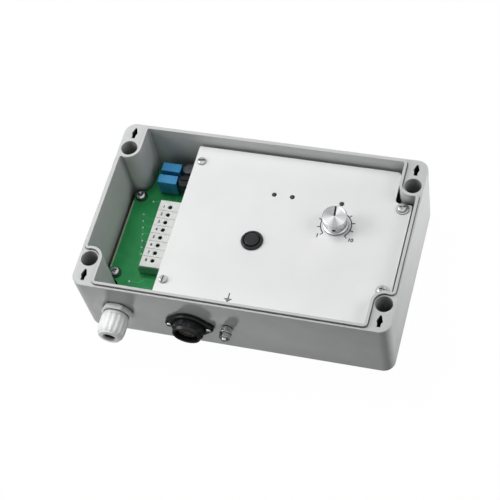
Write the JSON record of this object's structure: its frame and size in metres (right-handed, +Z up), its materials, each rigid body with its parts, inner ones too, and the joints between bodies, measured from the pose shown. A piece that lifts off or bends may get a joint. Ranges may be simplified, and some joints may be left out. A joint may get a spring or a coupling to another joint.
{
  "type": "metal detector control box",
  "caption": "Control box of a conveyor metal detector with its lid off: moulded base, white panel with knob, test button and LEDs, terminals, cable gland, round connector and earth stud.",
  "frame": {"origin": "centre of the enclosure's flat underside", "axes": "+X along the long side, away from the wiring bay; +Y from the wall with the gland to the plain long wall; +Z up, out of the open top"},
  "size_m": [0.26, 0.1856, 0.0715],
  "materials": {
    "box_grey": "moulded mid grey, fine satin grain",
    "panel_white": "satin near-white on aluminium sheet",
    "board_green": "green solder resist on glass fibre board",
    "terminal_green": "green moulded terminal body",
    "plate_white": "white marking plate",
    "capacitor_blue": "blue moulded case",
    "moulded_black": "black moulded plastic",
    "satin_black": "black satin button cap",
    "sleeve_grey": "dark sleeve with an aluminium top",
    "relay_grey": "dark smoky relay case",
    "insert_grey": "dark grey contact insert",
    "gland_grey": "light grey moulded nylon",
    "rubber_black": "black sealing rubber",
    "led_tint": "dark tinted lens, unlit",
    "knob_aluminium": "turned and clear anodised",
    "zinc_steel": "bright zinc plate",
    "dark_steel": "darkened steel"
  },
  "bodies": {
    "enclosure": {"enclosure_base": "box_grey", "cover_panel": "panel_white", "panel_screw_left_front": "zinc_steel", "panel_spacer_left_front": "zinc_steel", "panel_screw_left_back": "zinc_steel", "panel_spacer_left_back": "zinc_steel", "panel_screw_right_front": "zinc_steel", "panel_spacer_right_front": "zinc_steel", "panel_screw_right_back": "zinc_steel", "panel_spacer_right_back": "zinc_steel", "panel_washer_right_front": "zinc_steel", "board_screw_front": "zinc_steel", "board_washer_front": "dark_steel", "filter_capacitor_front": "capacitor_blue", "panel_washer_right_back": "zinc_steel", "board_screw_back": "zinc_steel", "board_washer_back": "dark_steel", "filter_capacitor_back": "capacitor_blue", "main_board": "board_green", "control_board": "board_green", "terminal_block": "terminal_green", "terminal_plate": "plate_white", "terminal_screw_1": "zinc_steel", "terminal_screw_2": "zinc_steel", "terminal_screw_3": "zinc_steel", "terminal_screw_4": "zinc_steel", "terminal_screw_5": "zinc_steel", "terminal_screw_6": "zinc_steel", "terminal_screw_7": "zinc_steel", "terminal_screw_8": "zinc_steel", "fuse_holder": "moulded_black", "fuse_cap": "moulded_black", "electrolytic_capacitor": "sleeve_grey", "supply_transformer": "moulded_black", "output_relay": "relay_grey", "board_link_header": "moulded_black", "potentiometer_body": "zinc_steel", "potentiometer_nut": "zinc_steel", "potentiometer_washer": "zinc_steel", "test_button_housing": "moulded_black", "test_button_nut": "zinc_steel", "led_left": "led_tint", "led_middle": "led_tint", "led_right": "led_tint", "gland_body": "gland_grey", "gland_cap_nut": "gland_grey", "gland_locknut": "gland_grey", "gland_seal": "rubber_black", "connector_shell": "moulded_black", "connector_insert": "insert_grey", "connector_screw_left": "zinc_steel", "connector_screw_right": "zinc_steel", "earth_stud": "zinc_steel", "earth_lock_nut": "zinc_steel", "earth_washer": "zinc_steel", "earth_clamp_nut": "zinc_steel"},
    "knob": {"sensitivity_knob": "knob_aluminium", "knob_grub_screw": "dark_steel", "potentiometer_shaft": "zinc_steel"},
    "button": {"test_button_cap": "satin_black"}
  },
  "joints": [
    {"name": "sensitivity_turn", "type": "hinge", "parent": "enclosure", "child": "knob", "pos_m": [0.0658, 0.015, 0.0575], "axis": [0, 0, 1], "range_deg": [-141, 129]},
    {"name": "test_press", "type": "slide", "parent": "enclosure", "child": "button", "axis": [0, 0, -1], "range_m": [0, 0.0015], "stiffness_N_per_m": 1200, "springref_m": -0.0008}
  ]
}
